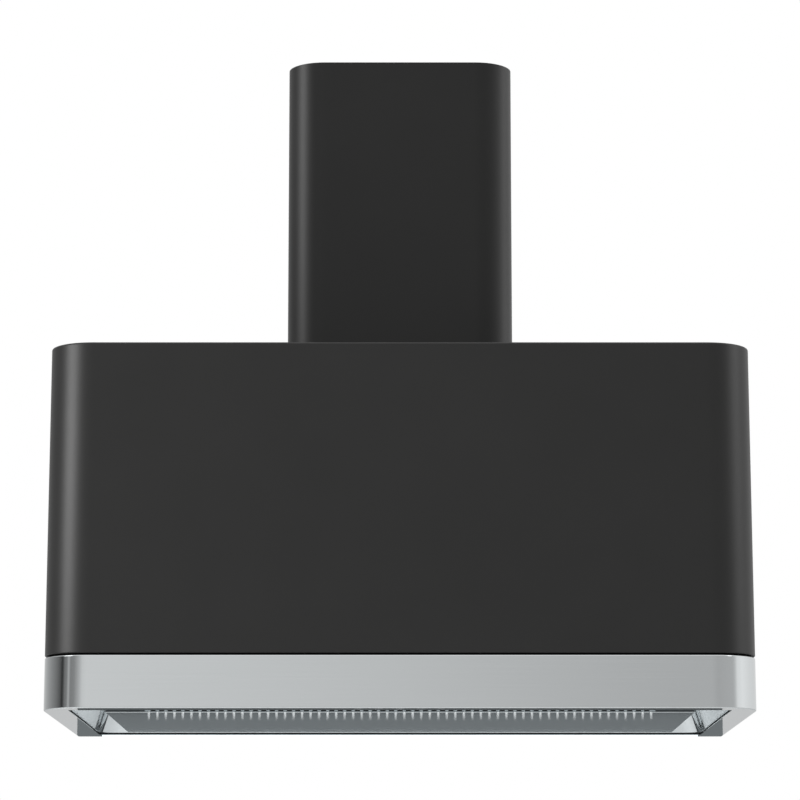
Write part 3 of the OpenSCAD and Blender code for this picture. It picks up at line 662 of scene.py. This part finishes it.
def makeBand():
    # The wall is the closed outline carried up its profile; the flat rim runs from it in to the opening.
    bandRise = rimHigh.z - rimZ
    profile = roundedProfile([(band["lap"], 0.0), (0.0, 0.0), (0.0, bandRise), (band["flange"], bandRise)],
                             (band["lowerBend"], band["upperBend"]))
    wall = carried(profile, "closed")
    edge = wall[:, 0]
    inner = np.c_[np.clip(edge[:, 0], -opening["halfWidth"], opening["halfWidth"]),
                  np.clip(edge[:, 1], opening["front"], opening["back"]), edge[:, 2]]
    face = np.stack([inner, edge], axis=1)
    thing = meshObject("rimBand", [gridPart(face, closed=True), gridPart(wall, closed=True)])
    thicken(thing, band["sheet"])
    places = []
    for i in range(1, band["buttons"] + 1):
        low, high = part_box("button_%d" % i)
        places.append(((low.x + high.x) / 2.0, (low.y + high.y) / 2.0, rimZ))
    drill(thing, places, band["buttonHole"], band["drillDepth"])
    dress(thing, "band", "polished_steel", "canopy", "rim_band")


makeBand()
print("rim band ready")

# Lining

# the black band at the lining's foot is painted shade for the joint between lining and rim
lining = {"corner": 0.026, "lean": 0.020, "sheet": 0.0012, "foot": 0.00825, "footBend": 0.0012,
          "paintedShadeTop": 0.0016, "paintedShadeFrom": {"lining": -0.01, "band": 0.0008}, "paintedShadeMargin": 0.0003,
          "paintedShadeSoft": 0.0003, "paintedShadeSoftAcross": 0.0002,
          "paintedShadeColour": (0.048, 0.058, 0.062), "paintedShadeRoughness": 0.6}


def paintShadeAtFoot(finish, bottom):
    # Paints shade: makes a finish black in the rim's opening from a height up to the painted shade band's
    # top, where the joint between lining and rim lies in shade.
    tree = finishes[finish].node_tree
    coordinates = newNode(tree, "ShaderNodeTexCoord")
    split = newNode(tree, "ShaderNodeSeparateXYZ")
    tree.links.new(coordinates.outputs["Object"], split.inputs[0])
    margin = lining["paintedShadeMargin"]
    low = stripe(tree, split.outputs["Z"], rimZ + bottom, rimZ + lining["paintedShadeTop"], lining["paintedShadeSoft"])
    reach = opening["halfWidth"] + margin
    soft = lining["paintedShadeSoftAcross"]
    across = stripe(tree, split.outputs["X"], -reach, reach, soft)
    deep = stripe(tree, split.outputs["Y"], opening["front"] - margin, opening["back"] + margin, soft)
    low = mathNode(tree, "MULTIPLY", low, mathNode(tree, "MULTIPLY", across, deep))
    black = newNode(tree, "ShaderNodeBsdfPrincipled")
    black.inputs["Base Color"].default_value = lining["paintedShadeColour"] + (1.0,)
    black.inputs["Roughness"].default_value = lining["paintedShadeRoughness"]
    mixed = newNode(tree, "ShaderNodeMixShader")
    tree.links.new(low, mixed.inputs[0])
    tree.links.new(tree.nodes["Principled BSDF"].outputs[0], mixed.inputs[1])
    tree.links.new(black.outputs[0], mixed.inputs[2])
    tree.links.new(mixed.outputs[0], tree.nodes["Material Output"].inputs["Surface"])


def makeLining():
    # The opening's outline carried down a leaning profile that ends in a flat foot above the rim.
    low = band["sheet"]
    high = liningHigh.z - rimZ
    foot = low + lining["sheet"]
    profile = roundedProfile([(lining["lean"], high), (0.0, foot), (-lining["foot"], foot)],
                             (lining["footBend"],))
    rows = []
    for inset, rise in profile:
        plan = outline(opening["halfWidth"] - inset, opening["front"] + inset, opening["back"] - inset,
                       lining["corner"], lining["corner"], steps=24)
        rows.append(np.c_[plan, np.full(len(plan), rimZ + rise)])
    thing = meshObject("steelLining", [gridPart(np.stack(rows, axis=1), closed=True)])
    thicken(thing, lining["sheet"])
    dress(thing, "lining", "satin_steel", "canopy", "lining")


makeLining()
# painted shade along the lining's foot and the rim band's inner edge
for finish, bottom in lining["paintedShadeFrom"].items():
    paintShadeAtFoot(finish, bottom)
print("lining ready")

# Suction panel

panel = {"sheet": 0.0015, "halfWidth": panelHigh.x, "front": panelLow.y, "back": opening["back"] - 0.043,
         "low": panelLow.z, "bend": 0.00084, "ribs": 60, "pitch": 0.0108, "slot": 0.0066,
         "lift": 0.0005, "edgeTop": 0.013, "backCorner": 0.002, "slotLow": 0.0022, "slotHigh": 0.0115,
         "fluteWidth": 0.0046, "fluteLength": 0.14, "fluteDepth": 0.0004, "fanFrom": 4.1, "fluteStart": 0.03,
         "fluteFade": 1.3}
# painted reflection streaks along the flutes: widths as a share of the pitch, the rise up from the panel's
# underside
paintedStreak = {"colour": (0.86, 0.89, 0.90), "roughness": 0.8, "half": 0.06, "soft": 0.14, "endSoft": 0.001,
          "rise": 0.0009, "riseSoft": 0.0002}
ear = {"reach": 0.013, "rise": 0.013, "radius": 0.005, "halfWidth": 0.004, "low": 0.002, "edge": 0.0004}
# black sheet behind the ribs: painted shade in the slots
slotShade = {"inset": 0.0030, "sheet": 0.0006, "low": 0.0021, "high": 0.0124}


def ribCentres():
    # Middles of the ribs: steps of one pitch, spread evenly about the middle plane.
    return (np.arange(panel["ribs"]) - (panel["ribs"] - 1) / 2.0) * panel["pitch"]


def fluteDepthAt(x, y):
    # Each flute is a squared cosine across, rises at once behind the front edge and fades as a power of
    # what is left of its length; their lines meet fanFrom metres in front of the panel.
    away = y - panel["front"]
    fan = 1.0 + away / panel["fanFrom"]
    nearest = np.abs(x[..., None] / fan[..., None] - ribCentres()).min(axis=-1)
    width = panel["fluteWidth"]
    across = np.where(nearest < width / 2.0, np.cos(math.pi * nearest / width) ** 2, 0.0)
    t = np.clip(away / panel["fluteLength"], 0.0, 1.0)
    start = np.clip(t / panel["fluteStart"], 0.0, 1.0)
    return panel["fluteDepth"] * across * start * (1.0 - t) ** panel["fluteFade"]


def panelBottom():
    # Flat grid over the panel's plan, raised by the flutes' depth and finest where the flutes are.
    bend = panel["bend"]
    w = panel["halfWidth"] - bend
    ribbed = ribCentres()[-1] + panel["pitch"]
    x = np.r_[-w, np.linspace(-ribbed, ribbed, (panel["ribs"] + 1) * 14 + 1), w]
    near = panel["front"] + bend + np.r_[0.0, 0.002, 0.0045, np.linspace(0.008, 0.125, 26)]
    y = np.r_[near, np.linspace(near[-1], panel["back"] - bend, 6)[1:]]
    gx, gy = np.meshgrid(x, y, indexing="ij")
    return np.stack([gx, gy, panel["low"] + fluteDepthAt(gx, gy)], axis=-1)


def panelEdge():
    # Section of the upturned edge as (inset, rise): in along the bottom, round a bend, straight up.
    bend, lift = panel["bend"], panel["lift"]       # the arc takes 0.7 of the bend, its lead the rest
    return roundedProfile([(bend, lift), (0.0, lift), (0.0, panel["edgeTop"])], (bend * 0.7,), 5)


def panelFront():
    # Upturned front edge: a grid with columns at the slots' sides, its faces left out where a slot is.
    profile = panelEdge()
    rises = np.r_[profile[:-1, 1], panel["slotLow"], panel["slotHigh"], profile[-1, 1]]
    insets = np.r_[profile[:-1, 0], 0.0, 0.0, 0.0]
    middles = (ribCentres()[:-1] + ribCentres()[1:]) / 2.0
    sides = np.sort(np.r_[middles - panel["slot"] / 2.0, middles + panel["slot"] / 2.0])
    x = np.r_[-panel["halfWidth"], sides, panel["halfWidth"]]
    grid = np.stack([np.broadcast_to(x[:, None], (len(x), len(rises))),
                     np.broadcast_to(panel["front"] + insets, (len(x), len(rises))),
                     np.broadcast_to(rimZ + rises, (len(x), len(rises)))], axis=-1)
    points, quads = gridPart(grid)
    quads = quads.reshape(len(x) - 1, len(rises) - 1, 4)
    keep = np.ones(quads.shape[:2], bool)
    keep[1:-1:2, -2] = False
    return points, quads[keep]


def panelSides():
    # Upturned left, back and right edges, carried along a path that runs round the back.
    w, r = panel["halfWidth"], panel["backCorner"]
    profile = panelEdge()
    rows = []
    for inset, rise in profile:
        right = arc((w - r, panel["back"] - r), r - inset, 0.0, 6)
        left = arc((-w + r, panel["back"] - r), r - inset, 0.5 * math.pi, 6)
        start, end = [[w - inset, panel["front"]]], [[-w + inset, panel["front"]]]
        plan = np.vstack([start, right, left, end])
        rows.append(np.c_[plan, np.full(len(plan), rimZ + rise)])
    return gridPart(np.stack(rows, axis=1))


def hingeEar(x):
    # Flat arm with a round end, cut from its outline in the YZ plane and carried across its width.
    middle = panel["back"] + ear["reach"]
    angle = np.radians(np.linspace(-90.0, 180.0, 22))
    r = ear["radius"]
    root = panel["back"] - panel["sheet"]
    ring = np.vstack([[(root, ear["low"]), (middle, ear["low"])],
                      np.c_[middle + r * np.cos(angle), ear["rise"] + r * np.sin(angle)],
                      [(root, ear["rise"])]])
    count = len(ring)
    ends = (x - ear["halfWidth"], x + ear["halfWidth"])
    sides = [np.c_[np.full(count, end), ring[:, 0], rimZ + ring[:, 1]] for end in ends]
    index = np.arange(count)
    quads = [(i, i + count, (i + 1) % count + count, (i + 1) % count) for i in index.tolist()]
    return np.vstack(sides), quads + [index.tolist(), (index + count).tolist()[::-1]]


def panelFinish():
    # Polished steel, mixed with a brighter satin steel in a stripe along each flute that fades out behind
    # it: a painted reflection streak.
    material, tree, shader = startMaterial("panelSteel")
    streakShader = newNode(tree, "ShaderNodeBsdfPrincipled")
    streakShader.inputs["Metallic"].default_value = 1.0
    streakShader.inputs["Roughness"].default_value = paintedStreak["roughness"]
    streakShader.inputs["Base Color"].default_value = paintedStreak["colour"] + (1.0,)
    lines = stretchedNoise(tree, (700.0, 6.0, 700.0), 5.0, 0.6)
    colour = colourBetween(tree, spread(tree, lines, 0.0, 1.0), (0.60, 0.64, 0.655), (0.66, 0.695, 0.71))
    tree.links.new(colour, shader.inputs["Base Color"])
    shader.inputs["Metallic"].default_value = 1.0
    coordinates = newNode(tree, "ShaderNodeTexCoord")
    split = newNode(tree, "ShaderNodeSeparateXYZ")
    tree.links.new(coordinates.outputs["Object"], split.inputs[0])
    away = mathNode(tree, "SUBTRACT", split.outputs["Y"], panel["front"])
    fan = mathNode(tree, "ADD", mathNode(tree, "DIVIDE", away, panel["fanFrom"]), 1.0)
    across = mathNode(tree, "DIVIDE", mathNode(tree, "DIVIDE", split.outputs["X"], fan), panel["pitch"])
    phase = mathNode(tree, "ABSOLUTE", mathNode(tree, "SUBTRACT", mathNode(tree, "FRACT", across), 0.5))
    row = stripe(tree, phase, -1.0, paintedStreak["half"], paintedStreak["soft"])
    reach = ribCentres()[-1] + panel["pitch"] / 2.0
    fanned = mathNode(tree, "DIVIDE", split.outputs["X"], fan)
    inside = stripe(tree, fanned, -reach, reach, paintedStreak["endSoft"])
    fade = newNode(tree, "ShaderNodeMapRange")
    fade.inputs["From Min"].default_value = panel["fluteLength"]
    fade.inputs["From Max"].default_value = 0.0
    tree.links.new(away, fade.inputs["Value"])
    below = stripe(tree, split.outputs["Z"], rimZ - 0.01, panel["low"] + paintedStreak["rise"], paintedStreak["riseSoft"])
    # where the painted reflection streaks lie
    streakMask = mathNode(tree, "MULTIPLY", mathNode(tree, "MULTIPLY", row, inside), fade.outputs[0])
    streakMask = mathNode(tree, "MULTIPLY", streakMask, below)
    tree.links.new(spread(tree, lines, 0.07, 0.11), shader.inputs["Roughness"])
    addBump(tree, shader, lines, 0.000003)
    mixed = newNode(tree, "ShaderNodeMixShader")
    tree.links.new(streakMask, mixed.inputs[0])
    tree.links.new(shader.outputs[0], mixed.inputs[1])
    tree.links.new(streakShader.outputs[0], mixed.inputs[2])
    tree.links.new(mixed.outputs[0], tree.nodes["Material Output"].inputs["Surface"])
    return material


def makePanel():
    finishes["panel"] = panelFinish()
    thing = meshObject("suctionPanelSheet", [gridPart(panelBottom()[::-1]), panelFront(), panelSides()])
    thicken(thing, panel["sheet"], even=False)
    dress(thing, "panel", "brushed_steel", "panel", "suction_panel")
    bracketLow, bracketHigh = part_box("hinge_bracket_right")
    earX = (bracketLow.x + bracketHigh.x) / 2.0
    parts = [hingeEar(x) for x in (-earX, earX)]
    mesh = bpy.data.meshes.new("hingeEars")
    allPoints = np.vstack([points for points, faces in parts])
    offset = len(parts[0][0])
    allFaces = parts[0][1] + [[i + offset for i in face] for face in parts[1][1]]
    mesh.from_pydata(allPoints.tolist(), [], [tuple(face) for face in allFaces])
    ears = bpy.data.objects.new("hingeEars", mesh)
    scene.collection.objects.link(ears)
    work = bmesh.new()
    work.from_mesh(mesh)
    bmesh.ops.recalc_face_normals(work, faces=work.faces)
    work.to_mesh(mesh)
    work.free()
    edge = ears.modifiers.new("edge", "BEVEL")
    edge.width = ear["edge"]
    edge.segments = 2
    settle(ears)
    dress(ears, "panel", "brushed_steel", "panel")


def makeSlotShadeSheet():
    # Black sheet upright behind the ribs, painted shade so that the slots between them read dark.
    inner = ribCentres()[-1] + panel["pitch"] / 2.0
    x = np.linspace(-inner, inner, 40)
    rise = np.linspace(slotShade["low"], slotShade["high"], 4)
    gx, gz = np.meshgrid(x, rise, indexing="ij")
    grid = np.stack([gx, np.full_like(gx, panel["front"] + slotShade["inset"]), rimZ + gz], axis=-1)
    thing = meshObject("slotShadeSheet", [gridPart(grid)])
    thicken(thing, slotShade["sheet"])
    dress(thing, "rubber", "black_rubber", "panel")


def makeSlotCards():
    # Dark cards in the front slot beside the ribs, where the panel's edge shows the slot's shade.
    near = panel["front"] - slotCard["inFront"]
    inner = ribCentres()[-1] + panel["pitch"] / 2.0
    outer = panel["halfWidth"]
    for name, left, right in (("slotCardLeft", -outer, -inner), ("slotCardRight", inner, outer)):
        makeCard(name, left, right, near, slotCard["low"], slotCard["high"], slotCard["level"])
    makeCard("slotCardRibs", -inner, inner, near, slotCard["ribLow"], slotCard["ribHigh"],
             slotCard["ribLevel"])


makePanel()
makeSlotShadeSheet()
makeSlotCards()
print("suction panel ready")

# Chimney covers

chimney = {"rowGap": 0.002,                        # between each end and the row next to it
           "lower": {"radius": 0.050, "backRadius": 0.0016, "sheet": 0.0012, "flange": 0.014},
           "upper": {"radius": 0.048, "backRadius": 0.0016, "sheet": 0.0012, "flange": 0.014}}


def makeCover(name, node, body, size):
    # The cover's outline, open at the wall between two short flanges, carried straight up.
    low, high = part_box(node)
    gap = chimney["rowGap"]
    plan = outline(high.x, low.y, high.y, size["radius"], size["backRadius"], "flange", size["flange"])
    rises = np.r_[low.z, np.linspace(low.z + gap, high.z - gap, 5), high.z]
    rows = [np.c_[plan, np.full(len(plan), z)] for z in rises]
    thing = meshObject(name, [gridPart(np.stack(rows, axis=1))])
    thicken(thing, size["sheet"])
    dress(thing, "paint", "black_paint", body, node)


makeCover("lowerCover", "chimney_lower", "canopy", chimney["lower"])
makeCover("upperCover", "chimney_upper", "chimney_top", chimney["upper"])
print("chimney ready")

# Finishes of the construction pieces

finishOf = {
    "zinc": ["back_panel", "filter_deck", "hinge_bracket_left", "hinge_bracket_right", "lamp_housing",
             "blower_housing", "motor_bracket", "chimney_bracket"],
    "rubber": ["seam_spacer"],
    "filter": ["filter_left", "filter_centre", "filter_right"],
    "black": ["latch_left", "latch_centre", "latch_right", "magnet_left", "magnet_right", "control_housing",
              "outlet_spigot", "cable_gland"],
    "grey": ["inlet_ring_left", "inlet_ring_right", "impeller", "flap_front", "flap_rear", "electronics_box",
             "electronics_cover"],
    "bright": ["hinge_pin_left", "hinge_pin_right", "motor", "flap_rod", "deck_screws", "bracket_screws",
               "motor_screws", "spigot_screws"] + ["button_%d" % i for i in range(1, band["buttons"] + 1)],
    "white": ["terminal_block"],
    "board": ["control_board", "lamp_board"],
    "lens": ["lamp_lens"],
}
for finish, names in finishOf.items():
    for name in names:
        for place in nodes[name].material_slots:
            place.material = finishes[finish]
# the lamps leave out the pieces with None, which show the world and the cards alone
groupOf = {"rimBand": "band", "lowerCover": "chimney", "upperCover": "chimney", "steelLining": None,
           "suctionPanelSheet": None, "hingeEars": None}
for thing in scene.objects:
    group = groupOf.get(thing.name, "rest")
    if thing.type == "MESH" and group:
        groups[group].objects.link(thing)
print("construction pieces finished")
